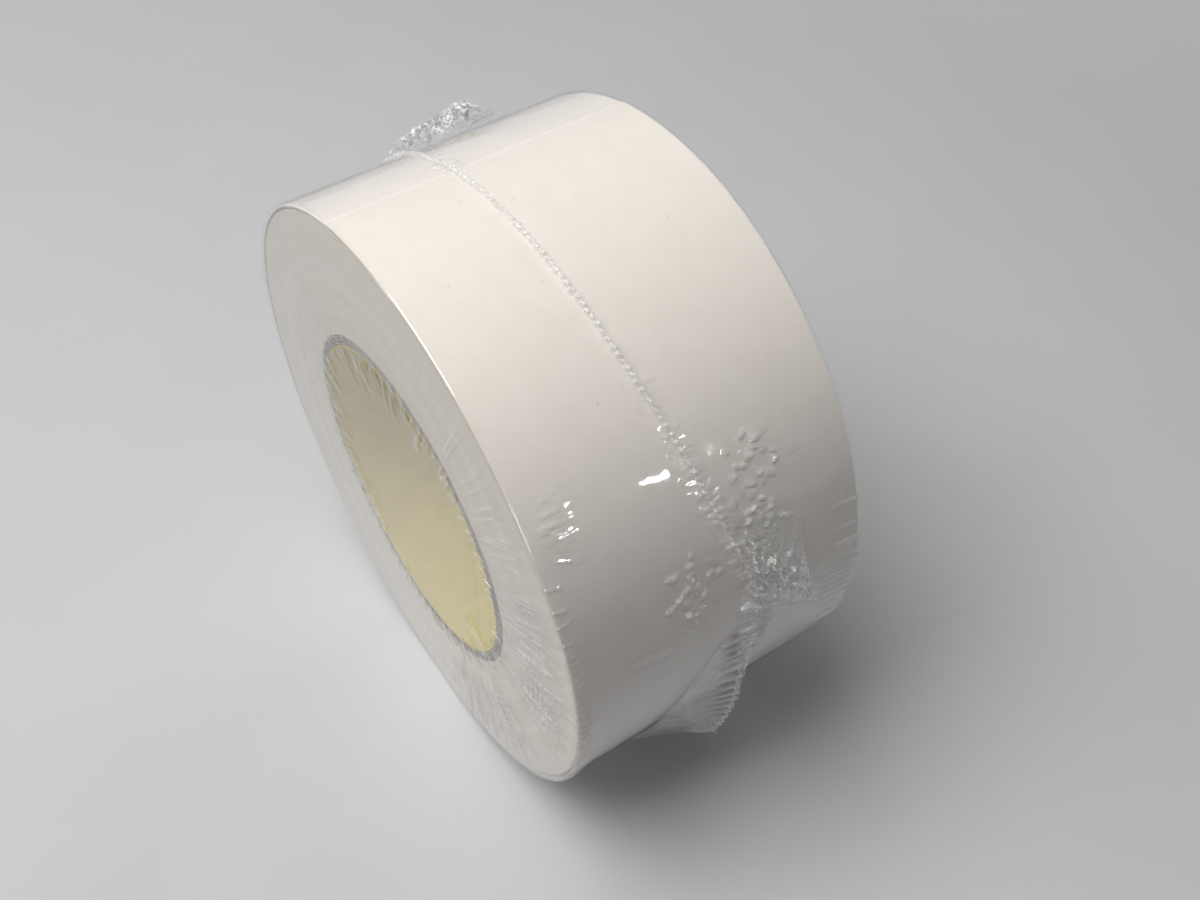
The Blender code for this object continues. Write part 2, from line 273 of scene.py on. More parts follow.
def edge_material(name):
    """Slit edges of paper and adhesive: pale rings on the winding's spiral, radius / pitch - turn.

    They are drawn about four turns to a ring so that they show, with cloudy stretches where the adhesive
    has darkened them.
    """
    made, tree, shader, place = new_material(name)
    centred = add_node(tree, "Mapping", {"Vector": place, "Location": (0, 0, -AXIS_HEIGHT)})
    parts = add_node(tree, "SeparateXYZ", {0: centred.outputs[0]})
    flat = add_node(tree, "CombineXYZ", {0: parts.outputs[0], 1: parts.outputs[2]})
    radius = add_node(tree, "VectorMath", {0: flat.outputs[0]}, operation="LENGTH")
    angle = add_node(tree, "Math", {0: parts.outputs[2], 1: parts.outputs[0]}, operation="ARCTAN2")
    turn = add_node(tree, "Math", {0: angle.outputs[0], 1: 2 * math.pi}, operation="DIVIDE")
    rings = add_node(tree, "Math", {0: radius.outputs["Value"], 1: 1 / RING_PITCH}, operation="MULTIPLY")
    spiral = add_node(tree, "Math", {0: rings.outputs[0], 1: turn.outputs[0]}, operation="SUBTRACT")
    fine = add_node(tree, "CombineXYZ", {0: spiral.outputs[0]})
    close = {"Vector": fine.outputs[0], "Scale": 1.4, "Detail": 3, "Roughness": 0.8}
    bands = add_node(tree, "TexNoise", close)
    wide = add_node(tree, "Math", {0: spiral.outputs[0], 1: 0.13}, operation="MULTIPLY")
    broad = add_node(tree, "CombineXYZ", {0: wide.outputs[0]})
    stretches = add_node(tree, "TexNoise", {"Vector": broad.outputs[0], "Scale": 1.0, "Detail": 1})
    both = add_node(tree, "Math", {0: bands.outputs["Fac"], 1: stretches.outputs["Fac"]}, operation="ADD")
    share = add_node(tree, "MapRange", {"Value": both.outputs[0], "From Min": 0.7, "From Max": 1.3})
    blend = {0: share.outputs[0], 6: linear("#D6CDB8"), 7: linear("#EEE9DE")}
    colour = add_node(tree, "Mix", blend, data_type="RGBA")
    gritty = {"Vector": place, "Scale": 1 / EDGE_GRAIN, "Detail": 4, "Roughness": 0.7}
    grain = add_node(tree, "TexNoise", gritty)
    bump = add_node(tree, "Bump", {"Height": bands.outputs["Fac"], "Strength": 0.35, "Distance": 0.0001})
    pits = {"Height": grain.outputs["Fac"], "Strength": 0.2, "Distance": 0.00008}
    pitted = add_node(tree, "Bump", {**pits, "Normal": bump.outputs[0]})
    tree.links.new(colour.outputs[2], shader.inputs["Base Color"])
    tree.links.new(pitted.outputs[0], shader.inputs["Normal"])
    shader.inputs["Roughness"].default_value = 0.7
    shader.inputs["IOR"].default_value = PAPER_IOR
    return made


# Slit paper and adhesive, unpolished: matt pale rings, a little yellow where the adhesive shows
WOUND_EDGE = edge_material("slit edges of paper and tape")
add_piece(wound_body("wound_tape_turns"), "wound_tape", WOUND_EDGE)

# Last turns of tape and of liner
# The tape proper is a thin translucent carrier with adhesive on both faces. The white release liner lies
# over it and ends in a straight cut across the roll, the tail, which lifts a little from the turn beneath.

TAIL_ANGLE = math.radians(105.5)
TAIL_LAP = math.radians(2.5)
TURN_GROWTH = 0.00022
TAIL_LIFT = 0.00016
TAIL_LIFT_REACH = 0.0035
TAIL_HIGHLIGHT = 0.0004
TAIL_FINE = 0.012
TAIL_COLUMNS = 41
TURN_COLUMNS = 480
TURN_ROWS = 30
LINER_THICKNESS = 0.00012
TAPE_THICKNESS = 0.0001


def last_turn(name, outside, thickness, start, lap, lift):
    """One turn of a web, from start to a lap beyond it.

    Its radius falls by the winding's pitch over the turn, and its outer end curls up by lift, which dies
    away as exp(-arc / reach). Along the cut at its outer end a painted highlight is given as a share, by
    exp(-(arc / highlight)^2).
    """
    near = np.linspace(0, TAIL_FINE / outside, TAIL_COLUMNS)
    beyond = np.linspace(near[-1], 2 * math.pi + lap, TURN_COLUMNS)
    turned = np.concatenate((near[:-1], beyond))[:, None]
    face = np.linspace(-HALF_WIDTH, HALF_WIDTH, TURN_ROWS)
    along = np.concatenate((face, face[::-1]))
    depth = np.concatenate((np.zeros(TURN_ROWS), np.full(TURN_ROWS, thickness)))
    curl = np.exp(-turned * outside / TAIL_LIFT_REACH) * (1 + 0.35 * swells(along, 0.03, 5, 9))
    radius = outside - depth - TURN_GROWTH * turned / (2 * math.pi) + lift * curl
    angle = start - turned
    # A painted highlight along the tail's cut, fading from its outer end
    cut = np.broadcast_to(np.exp(-((turned * outside / TAIL_HIGHLIGHT) ** 2)), radius.shape)
    points = on_roll(angle, settle(angle, radius), along)
    return grid_mesh(name, points, round_rows=True, caps=True, whitening_and_painted_shading=cut)


# Bleached release paper, glazed on one face: creamy white, finely cloudy, with stray brown fibre ends
WHITE_PAPER = paper_material("white release paper", "#F2EDE6", "#EEE8E0", "#9A8878", 0.0006, 0.005, 0.55)

# Along the tail's cut a thin line is painted a purer white, a painted highlight on the lifted edge
liner_tree = WHITE_PAPER.node_tree
liner_shader = liner_tree.nodes["Principled BSDF"]
glazed = liner_shader.inputs["Base Color"].links[0].from_socket
tail_highlight = add_node(liner_tree, "Attribute", {}, attribute_name="whitening_and_painted_shading")
tail_highlight_blend = {0: tail_highlight.outputs["Fac"], 6: glazed, 7: linear("#FFFCF7")}
painted_tail_highlight = add_node(liner_tree, "Mix", tail_highlight_blend, data_type="RGBA")
liner_tree.links.new(painted_tail_highlight.outputs[2], liner_shader.inputs["Base Color"])

# Acrylic adhesive on a thin carrier: straw coloured and half gloss, seen only at its edges
STRAW_TAPE = paper_material("straw adhesive tape", "#E9E2D2", "#E1D8C5", "#C9BC9E", 0.0006, 0.004, 0.35)

tape_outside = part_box("tape_last_turn")[1].z - AXIS_HEIGHT
tape_start = TAIL_ANGLE - 2 * TAIL_LAP
tape_mesh = last_turn("tape_turn", tape_outside, TAPE_THICKNESS, tape_start, -2 * TAIL_LAP, 0)
add_piece(tape_mesh, "tape_last_turn", STRAW_TAPE)
liner_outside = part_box("liner_last_turn")[1].z - AXIS_HEIGHT
liner_mesh = last_turn("release_liner_turn", liner_outside, LINER_THICKNESS, TAIL_ANGLE, TAIL_LAP, TAIL_LIFT)
add_piece(liner_mesh, "liner_last_turn", WHITE_PAPER)

# Film panels
# Two webs of clear polyolefin film, one over each end, shrunk on with hot air. Each is drawn tight as a
# drum skin over the bore, pleats where it turns the rim, and runs along the rim to the seal between them.

FILM_END = -film_low.y
FILM_CORNER = 0.0008
FILM_THICKNESS = 0.0001
FILM_COLUMNS = 1150
SEAL_GAP = 0.0003
SEAL_ROUTE = (
    (-165, -0.0040),
    (-120, 0.0020),
    (-70, 0.0038),
    (-34, 0.0042),
    (-14, 0.0045),
    (-2, 0.0066),
    (10, 0.0078),
    (30, 0.0018),
    (60, -0.0042),
    (100, -0.0067),
    (145, -0.0065),
)
RIM_TRAVEL = FILM_RADIUS - FILM_CORNER
BAND_TRAVEL = RIM_TRAVEL + FILM_CORNER * math.pi / 2
FOLD_RADIUS = 0.03
FILM_SWELL = 0.00003
DRUM_SAG = 0.0003
WHITENED = 0.00022
WHITE_SHARE = 0.35
# Painted shade and highlight on the film's slopes: its gain, and the most it may be
PAINTED_SLOPE_SHADING = 0.95
PAINTED_SLOPE_SHADING_MOST = 1.1
RIM_CUTS = (-42, 150)
FILM_MIRROR = 0.04
FILM_MIRROR_MOST = 0.45
FILM_MILK_AND_SHADE = 0.3
FILM_RIPPLE = 0.004
BLISTER_SIZES = (0.0006, 0.0011)
BLISTER_HEIGHTS = (0.00016, 0.00056)
BLISTER_STRETCHES = (1.0, 1.4)


def seal_line(angle):
    """How far the seal runs behind mid width.

    The line is cubic stretches between its stops, each leaving a stop at the slope of the line through the
    two stops beside it.
    """
    stops = np.radians([stop for stop, _ in SEAL_ROUTE])
    offset = np.array([place for _, place in SEAL_ROUTE])
    turned = (angle - stops[0]) % (2 * math.pi)
    gaps = np.diff(np.append(stops, stops[0] + 2 * math.pi))
    slope = (np.roll(offset, -1) - np.roll(offset, 1)) / (np.roll(gaps, 1) + gaps)
    at = np.searchsorted(stops - stops[0], turned, side="right") - 1
    after = (at + 1) % len(stops)
    span = gaps[at]
    share = (turned - (stops - stops[0])[at]) / span
    return (
        offset[at] * (1 + 2 * share) * (1 - share) ** 2
        + slope[at] * span * share * (1 - share) ** 2
        + offset[after] * share**2 * (3 - 2 * share)
        - slope[after] * span * share**2 * (1 - share)
    )


def spaced_angles(count, closer):
    """Angles once round the roll, closer where closer(angle) is larger: equal steps of its running total."""
    fine = np.linspace(-math.pi, math.pi, 7201)
    total = np.concatenate(([0], np.cumsum(closer(fine)[:-1])))
    return np.interp(np.linspace(0, total[-1], count, endpoint=False), total, fine)


def bell(angle, middle, reach):
    """1 at a middle angle, falling to 0 as exp(-(angle / reach)^2). Middle and reach are in degrees."""
    off = (angle - math.radians(middle) + math.pi) % (2 * math.pi) - math.pi
    return np.exp(-((off / math.radians(reach)) ** 2))


def drawn_lines(rng, count, density, **ranges):
    """Pleat lines: angles spaced as density asks and jittered, the rest drawn from their ranges."""
    fine = np.linspace(-math.pi, math.pi, 3601)
    total = np.cumsum(density(fine))
    at = np.interp((np.arange(count) + rng.uniform(0.1, 0.9, count)) / count * total[-1], total, fine)
    picked = [rng.uniform(*ranges[key], count) for key in ("start", "end", "lean", "width", "height")]
    return np.stack((at, *picked), axis=-1)


def pleats(angle, travel, radius, lines):
    """Height of pleats in the film.

    Each is a line that starts at an angle, runs from one travel to another and leans by so much angle a
    metre. Its section is height * exp(-(distance / width)^2), and it fades at its ends as a smooth step.
    """
    total = np.zeros(np.broadcast_shapes(angle.shape, travel.shape))
    for at, start, end, lean, width, height in lines:
        off = (angle - at - lean * (travel - start) + math.pi) % (2 * math.pi) - math.pi
        fade = np.clip(np.minimum(travel - start, end - travel) / (0.3 * (end - start)), 0, 1)
        total += height * np.exp(-((off * radius / width) ** 2)) * fade**2 * (3 - 2 * fade)
    return total


def blisters(angle, along, spots):
    """Height of small blisters: flat domes, height * exp(-q^2) for q the square of distance / size.

    Each is drawn out by stretch along its turn, and drawn in by as much across it.
    """
    total = np.zeros(np.broadcast_shapes(angle.shape, along.shape))
    for at, place, size, height, turn, stretch in spots:
        arc = (angle - at) * FILM_RADIUS
        lengthways = (arc * math.cos(turn) + (along - place) * math.sin(turn)) / stretch
        crossways = ((along - place) * math.cos(turn) - arc * math.sin(turn)) * stretch
        q = (lengthways**2 + crossways**2) / size**2
        total += height * np.exp(-(q**2))
    return total


def film_web(side, rng, wrinkled, spots, rim_lines):
    """The points of one web of film, and the share of whitening and painted shading at each.

    A meridian runs from the middle of the end, over the rim's corner, along the rim to the seal, and goes
    round the axis. The film is moved off that shape by its pleats, blisters and swells, and sags over the
    bore by sag * (1 - (radius / bore)^2). The share at each point is a share of (pleat height / whitened)^3
    for whitening, less the slope round the roll times cos(angle), which is above 0 on sides that look down:
    painted shade on those sides, and a painted highlight on the sides that look up. The row where the rim
    begins and the columns where the rim is cut in two come with them.
    """
    angle = spaced_angles(FILM_COLUMNS, lambda a: 1 + 4 * wrinkled(a))[:, None]
    every = np.ones_like(angle)
    end_radius = np.concatenate(
        (
            (0, 0.004, 0.010, 0.016, 0.021, 0.025, 0.028, 0.0303, 0.0322, 0.0340, 0.0355),
            np.linspace(0.0367, 0.0430, 10),
            np.linspace(0.0447, RIM_TRAVEL, 15),
        )
    )
    bend = np.linspace(0, math.pi / 2, 6)[1:]
    band = np.concatenate(
        (
            np.linspace(0.01, 0.17, 10),
            np.linspace(0.22, 0.44, 5),
            np.linspace(0.48, 0.92, 43),
            np.linspace(0.93, 1, 9),
        )
    )
    edge = side * seal_line(angle) + SEAL_GAP
    band_out = FILM_END - FILM_CORNER - band * (FILM_END - FILM_CORNER - edge)
    end_out = every * np.full(len(end_radius), FILM_END)
    bend_out = every * (FILM_END - FILM_CORNER * (1 - np.cos(bend)))
    out = np.concatenate((end_out, bend_out, band_out), axis=1)
    bend_travel = every * (RIM_TRAVEL + FILM_CORNER * bend)
    band_travel = BAND_TRAVEL + FILM_END - FILM_CORNER - band_out
    travel = np.concatenate((every * end_radius, bend_travel, band_travel), axis=1)
    bend_radius = RIM_TRAVEL + FILM_CORNER * np.sin(bend)
    base = np.concatenate((end_radius, bend_radius, np.full(len(band), FILM_RADIUS)))
    lean_out = np.concatenate((np.ones(len(end_radius)), np.cos(bend), np.zeros(len(band))))
    lean_up = np.concatenate((np.zeros(len(end_radius)), np.sin(bend), np.ones(len(band))))
    fan = drawn_lines(
        rng,
        120,
        lambda a: 0.12 + wrinkled(a),
        start=(0.0405, 0.0480),
        end=(0.0650, 0.0712),
        lean=(-0.8, 0.8),
        width=(0.00026, 0.00044),
        height=(0.00018, 0.00046),
    )
    fine = drawn_lines(
        rng,
        150,
        lambda a: 0.12 + wrinkled(a),
        start=(0.0450, 0.0600),
        end=(0.0610, 0.0712),
        lean=(-1.2, 1.2),
        width=(0.00020, 0.00032),
        height=(0.00008, 0.00020),
    )
    fan = np.concatenate((fan, fine))
    spread = (np.degrees(fan[:, 0]) + 28) / 30
    fan[:, 3] += np.radians(850) * spread * np.exp(-(spread**2) / 1.6)
    fan[:, 5] *= (0.15 + 0.85 * wrinkled(fan[:, 0])) * (1 - 0.9 * bell(fan[:, 0], -29, 7))
    teeth = drawn_lines(
        rng,
        125,
        np.ones_like,
        start=(0.0355, 0.0378),
        end=(0.0408, 0.0440),
        lean=(-4, 4),
        width=(0.0003, 0.0005),
        height=(0.00018, 0.00042),
    )
    reaching = drawn_lines(
        rng,
        46,
        lambda a: bell(a, 105, 20) + 0.9 * bell(a, -165, 42) + bell(a, -33, 9),
        start=(0.0270, 0.0345),
        end=(0.0385, 0.0405),
        lean=(-3, 3),
        width=(0.0006, 0.0011),
        height=(0.00022, 0.00040),
    )
    gathers = drawn_lines(
        rng,
        250,
        lambda a: 0.25 + 1.2 * bell(a, 0, 42) + 0.8 * bell(a, 107, 5),
        start=(-0.0042, -0.0016),
        end=(0.0006, 0.0012),
        lean=(-6, 6),
        width=(0.0003, 0.0006),
        height=(0.00004, 0.00011),
    )
    at = gathers[:, 0]
    gathers[:, 1] -= 0.0022 * bell(at, 1, 9)
    gathers[:, 5] *= 1 + 2 * bell(at, 1, 9) + 1.4 * bell(at, 8, 32) + 4 * bell(at, 107, 5)
    on_rim = base >= FILM_RADIUS
    fold_radius = np.maximum(base, FOLD_RADIUS)
    folded = pleats(angle, travel, fold_radius, np.concatenate((fan, teeth, reaching, rim_lines)))
    folded += pleats(angle, edge - out, FILM_RADIUS, gathers) * on_rim
    moved = folded + blisters(angle, side * out, spots) * on_rim
    # Painted shading: the slope round the roll paints the sides that look down grey and those that look up
    # milky white
    slope = np.gradient(moved, angle[:, 0], axis=0) / fold_radius
    painted_slope_shading = np.clip(PAINTED_SLOPE_SHADING * slope * np.cos(angle), -PAINTED_SLOPE_SHADING_MOST, PAINTED_SLOPE_SHADING_MOST)
    moved += FILM_SWELL * swells(angle * FILM_RADIUS + 0.6 * side * out, 0.017, 6, 33 + side) * lean_up
    moved += FILM_SWELL * swells(side * out - 0.3 * angle * FILM_RADIUS, 0.011, 6, 36 + side) * lean_up
    moved -= DRUM_SAG * np.clip(1 - (base / LINING_OUTSIDE) ** 2, 0, 1)
    points = on_roll(angle, settle(angle, base + moved * lean_up), side * (out + moved * lean_out))
    whitening_and_painted_shading = WHITE_SHARE * np.clip(folded / WHITENED, 0, 1) ** 3 - painted_slope_shading
    rim_row = len(end_radius) + len(bend) - 1
    return points, whitening_and_painted_shading, rim_row, np.searchsorted(angle[:, 0], np.radians(RIM_CUTS))


def film_material(name):
    """Clear film, which has no colour of its own.

    Each face mirrors by the rule r + (1 - r)(1 - cos)^5 with r = ((n - 1) / (n + 1))^2 or 0.04, and lets
    the rest through, so it vanishes face on and hazes over at a slant. Film is never flat enough to be seen
    quite edge on, so the mirror has a limit. Where the point attribute is above 0 a share of it turns from
    clear to milky white: whitening, as along creases and welds, and a painted highlight on the web's sides
    that look up. Where the attribute is below 0 that share turns grey instead, a painted shade on the steep
    sides that look down.
    """
    made, tree, shader, place = new_material(name)
    facing = add_node(tree, "LayerWeight", {"Blend": 0.5})
    slant = add_node(tree, "Math", {0: facing.outputs["Facing"], 1: 5}, operation="POWER")
    slanted = add_node(tree, "MapRange", {"Value": slant.outputs[0], "To Min": FILM_MIRROR, "To Max": 1})
    mirror = add_node(tree, "Math", {0: slanted.outputs[0], 1: FILM_MIRROR_MOST}, operation="MINIMUM")
    whitening_and_painted_shading = add_node(tree, "Attribute", {}, attribute_name="whitening_and_painted_shading")
    amount = add_node(tree, "Math", {0: whitening_and_painted_shading.outputs["Fac"]}, operation="ABSOLUTE")
    milk_and_shade_cover = add_node(tree, "Math", {0: amount.outputs[0], 1: FILM_MILK_AND_SHADE}, operation="MULTIPLY")
    both = {0: mirror.outputs[0], 1: milk_and_shade_cover.outputs[0]}
    cover = add_node(tree, "Math", both, operation="ADD", use_clamp=True)
    mirrored = {0: mirror.outputs[0], 1: cover.outputs[0]}
    gloss = add_node(tree, "Math", mirrored, operation="DIVIDE", use_clamp=True)
    # Painted shade: where the attribute is below 0, the share that isn't mirror turns grey
    in_painted_shade = add_node(tree, "Math", {0: whitening_and_painted_shading.outputs["Fac"], 1: 0}, operation="LESS_THAN")
    matt = add_node(tree, "Math", {0: 1, 1: gloss.outputs[0]}, operation="SUBTRACT")
    painted_shade_share = add_node(tree, "Math", {0: in_painted_shade.outputs[0], 1: matt.outputs[0]}, operation="MULTIPLY")
    milk_and_shade_tones = {0: painted_shade_share.outputs[0], 6: linear("#F4F5F6"), 7: linear("#4E4A47")}
    milk_and_painted_shade = add_node(tree, "Mix", milk_and_shade_tones, data_type="RGBA")
    ripple = add_node(tree, "TexNoise", {"Vector": place, "Scale": 1 / FILM_RIPPLE, "Detail": 2})
    bump = add_node(tree, "Bump", {"Height": ripple.outputs["Fac"], "Strength": 0.12, "Distance": 0.0003})
    tree.links.new(cover.outputs[0], shader.inputs["Alpha"])
    tree.links.new(gloss.outputs[0], shader.inputs["Metallic"])
    tree.links.new(bump.outputs[0], shader.inputs["Normal"])
    tree.links.new(milk_and_painted_shade.outputs[2], shader.inputs["Base Color"])
    shader.inputs["Roughness"].default_value = 0.06
    return made


# Polyolefin shrink film, drawn both ways and shrunk: clear, with a mirror gloss, white along its creases,
# with painted shade on the steep sides that look down and a painted highlight on some that look up
CLEAR_FILM = film_material("clear shrink film")


def add_film(name, node, points, whitening_and_painted_shading, round_columns=False, runs_on=False):
    """A shown sheet of film, with its thickness turned inwards.

    A sheet that runs on in the next one is marked sharp along its border, the edges that only one face
    uses, so that the wall there doesn't round the shading and the light runs on across it.
    """
    mesh = grid_mesh(name, points, round_columns=round_columns, whitening_and_painted_shading=whitening_and_painted_shading)
    sheet = add_piece(mesh, node, CLEAR_FILM, 70)
    wall = sheet.modifiers.new("film thickness", "SOLIDIFY")
    wall.thickness = FILM_THICKNESS
    if runs_on:
        used = np.zeros(len(mesh.loops), dtype=np.int32)
        mesh.loops.foreach_get("edge_index", used)
        sharp = np.zeros(len(mesh.edges), dtype=bool)
        mesh.edges.foreach_get("use_edge_sharp", sharp)
        border = np.bincount(used, minlength=len(sharp)) == 1
        mesh.edges.foreach_set("use_edge_sharp", sharp | border)


def blister_spots(seed, count, angle, angle_spread, along, along_spread):
    """A cloud of blisters round a place on the rim, in degrees and metres."""
    rng = np.random.default_rng(seed)
    return np.stack(
        (
            np.radians(rng.normal(angle, angle_spread, count)),
            rng.normal(along, along_spread, count),
            rng.uniform(*BLISTER_SIZES, count),
            rng.uniform(*BLISTER_HEIGHTS, count),
            rng.uniform(0, math.pi, count),
            rng.uniform(*BLISTER_STRETCHES, count),
        ),
        axis=-1,
    )


def front_wrinkled(angle):
    """How much the front end is wrinkled, by angle: most low on the right."""
    return np.clip(0.3 * bell(angle, 50, 22) + bell(angle, 5, 32) + bell(angle, -50, 34), 0, 1)


def rear_wrinkled(angle):
    """How much the rear end is wrinkled, by angle: most on the right, and some on the left."""
    return np.clip(bell(angle, 10, 40) + 0.5 * bell(angle, -140, 35), 0, 1)


FRONT_DRAW = np.random.default_rng(31)
front_rim = np.concatenate(
    (
        drawn_lines(
            FRONT_DRAW,
            80,
            lambda a: bell(a, 2, 19) + 0.5 * bell(a, -42, 20),
            start=(0.0688, 0.0697),
            end=(BAND_TRAVEL + 0.0014, BAND_TRAVEL + 0.0036),
            lean=(-3, 3),
            width=(0.0003, 0.00045),
            height=(0.00009, 0.00019),
        ),
        drawn_lines(
            FRONT_DRAW,
            22,
            lambda a: bell(a, 40.5, 3.2),
            start=(BAND_TRAVEL, BAND_TRAVEL + 0.0040),
            end=(BAND_TRAVEL + 0.0050, BAND_TRAVEL + 0.0110),
            lean=(-8, 8),
            width=(0.0003, 0.0005),
            height=(0.00005, 0.00014),
        ),
        ((math.radians(10.4), BAND_TRAVEL + 0.0105, BAND_TRAVEL + 0.0255, -2.4, 0.0013, 0.00028),),
    )
)
REAR_DRAW = np.random.default_rng(32)
rear_rim = drawn_lines(
    REAR_DRAW,
    26,
    lambda a: bell(a, 4, 13) + 0.4 * bell(a, -140, 30),
    start=(0.0688, 0.0697),
    end=(BAND_TRAVEL + 0.0080, BAND_TRAVEL + 0.0140),
    lean=(1.2, 2.6),
    width=(0.0006, 0.0009),
    height=(0.00020, 0.00040),
)
front_spots = blister_spots(21, 32, 17, 3.6, -0.0058, 0.0038)
rear_spots = blister_spots(22, 58, 28.5, 5.0, 0.0110, 0.0042)
WEBS = (
    ("front", -1, FRONT_DRAW, front_wrinkled, front_spots, front_rim),
    ("rear", 1, REAR_DRAW, rear_wrinkled, rear_spots, rear_rim),
)

# Each web is shown as one end and two sheets of rim, which meet at the rim cuts
for web, side, draw, wrinkled, spots, rim_lines in WEBS:
    points, whitening_and_painted_shading, rim_row, (first, last) = film_web(side, draw, wrinkled, spots, rim_lines)
    node = f"film_{web}_panel"
    end_part = slice(None, rim_row + 1)
    add_film(f"film_{web}_end", node, points[:, end_part], whitening_and_painted_shading[:, end_part], round_columns=True)
    right = np.arange(first, last + 1)
    left = np.arange(last, first + len(points) + 1) % len(points)
    for part, picked in (("right", right), ("left", left)):
        rim, rim_whitening_and_shading = points[picked, rim_row:], whitening_and_painted_shading[picked, rim_row:]
        add_film(f"film_{web}_rim_{part}", node, rim, rim_whitening_and_shading, runs_on=True)

# Trim seal
# A hot wire cut and welded the two webs at once, which left a thin bead of melted film round the rim. At
# the lower corner the film had slack to spare, and the bead stands off the roll there on a pleated fin.

SEAL_WIDTH = 0.0009
SEAL_HEIGHT = 0.0009
FIN_HEIGHT = 0.0090
FIN_PEAK = math.radians(-34)
FIN_REACH = math.radians(32)
FIN_PLEATS = 72
FIN_PLEAT_SWING = 0.00045
FIN_TAB = 0.0020
FIN_TAB_REACH = 0.016
SEAL_COLUMNS = 2600
SEAL_ROWS = 18
SEAL_LEAST = 0.0003
SEAL_LEAST_HALF = 0.0001
SEAL_SWAY = 0.0003
FLOOR_GAP = 0.0001


def beads(angle, least, most, count, seed):
    """A random line that closes on itself: sines of whole cycles a turn, scaled to about -1 to 1."""
    rng = np.random.default_rng(seed)
    cycles = rng.integers(least, most, count)
    starts = rng.uniform(0, 2 * math.pi, count)
    total = sum(np.sin(cycle * angle + start) for cycle, start in zip(cycles, starts))
    return total / math.sqrt(count / 2) / 2


def fin_swell(angle):
    """How far the fin has risen: 1 at its peak, falling evenly to 0 at its reach either side."""
    return np.clip(1 - np.abs(angle - FIN_PEAK) / FIN_REACH, 0, 1)


def above_floor(angle, radius, gap):
    """A radius cut back so that its point stays a gap above the floor."""
    return np.minimum(radius, (AXIS_HEIGHT - gap) / np.maximum(-np.sin(angle), 0.5))


def trim_seal(name):
    """A tube round the rim.

    Its section is an ellipse from the rim to the crest, fatter at the crest of the fin, and it is pushed
    up, aside and in and out by random lines, as film is that draws up when it melts. It is milky in spots,
    and clear low on the fin.
    """
    angle = np.linspace(-math.pi, math.pi, SEAL_COLUMNS, endpoint=False)[:, None]
    section = np.linspace(0, 2 * math.pi, SEAL_ROWS, endpoint=False)
    up = (1 - np.cos(section)) / 2
    swell = fin_swell(angle)
    knotted = beads(angle, 150, 300, 9, 41) * (0.5 + 0.5 * bell(angle, 15, 60))
    crest = SEAL_HEIGHT * (1 + 0.7 * knotted) + (FIN_HEIGHT - SEAL_HEIGHT) * swell
    crest = crest + FIN_TAB * np.exp(-(((angle - FIN_PEAK) / FIN_TAB_REACH) ** 6))
    radius = FILM_RADIUS - FILM_THICKNESS + (FILM_THICKNESS + np.maximum(crest, SEAL_LEAST)) * up
    radius = above_floor(angle, radius, FLOOR_GAP + FILM_THICKNESS * (1 - up))
    width = SEAL_WIDTH / 2 * (1 + 0.7 * beads(angle, 160, 330, 9, 42)) * (1 - 0.55 * swell)
    width = np.maximum(width, SEAL_LEAST_HALF) * (1 + 1.2 * swell * np.exp(-(((up - 0.95) / 0.06) ** 2)))
    swung = np.sin(FIN_PLEATS * angle + 2.5 * beads(angle, 5, 20, 5, 43))
    aside = SEAL_SWAY * beads(angle, 60, 260, 9, 44) * up + FIN_PLEAT_SWING * swung * swell * up
    milky = np.clip(0.55 + 0.7 * beads(angle, 120, 320, 9, 45), 0.1, 1)
    milky = milky * (1 - swell * np.clip(1.6 - 2 * up, 0, 0.9))
    return grid_mesh(
        name,
        on_roll(angle, radius, seal_line(angle) + np.sin(section) * width + aside),
        round_columns=True,
        round_rows=True,
        whitening_and_painted_shading=milky,
    )


add_piece(trim_seal("film_seal_bead"), "film_trim_seal", CLEAR_FILM, 70)

# Corner ears
# The pouch was square, so its four corners had more film than could shrink away. Each is a flat bag of two
# plies, welded at its edge and crumpled by the heat. They lie close to the rim, but for the lower one.

EAR_COLUMNS = 150
EAR_ROWS = 130
EAR_PUFF = 0.0006
EAR_CRUMPLE = 0.0052
EAR_CRUMPLE_HEIGHT = 0.0012
EAR_FOOT = 0.00035
EAR_BOW = 0.0018
EAR_PAINTED_SHADE = 0.9
EAR_HEM = 0.026
EAR_HEM_LIFT = 0.0009
EAR_CLEAR = 0.0002
EAR_PLY_GAP = 0.0005
EAR_FLOOR_GAP = 0.0003
EARS = {
    "film_ear_upper": (
        (117, 0.0010, 0.0004),
        (135, 0.0010, 0.0008),
        (123, 0.0240, 0.0008),
        (130.5, 0.0215, 0.0048),
    ),
    "film_ear_right": (
        (31, 0.0010, -0.0003),
        (11, -0.0055, 0.0012),
        (22.5, 0.0155, -0.0003),
        (3.2, 0.0180, 0.0018),
    ),
    "film_ear_back": (
        (-146, 0.0010, 0.0004),
        (-172, 0.0010, 0.0008),
        (-158, 0.0190, 0.0010),
        (-171, 0.0180, 0.0024),
    ),
}


def crumpled(u, v, size, seed):
    """A random field with a spread of about 1: a sum of sine waves in random directions, long round size.

    Where it passes through 0 the film folds, so the folds run in curls that meet.
    """
    rng = np.random.default_rng(seed)
    total = np.zeros(np.broadcast_shapes(u.shape, v.shape))
    for turn, length, start in rng.uniform((0, 0.7, 0), (2 * math.pi, 1.6, 2 * math.pi), (14, 3)):
        total += np.sin(2 * math.pi * (u * math.cos(turn) + v * math.sin(turn)) / (length * size) + start)
    return total / math.sqrt(7)


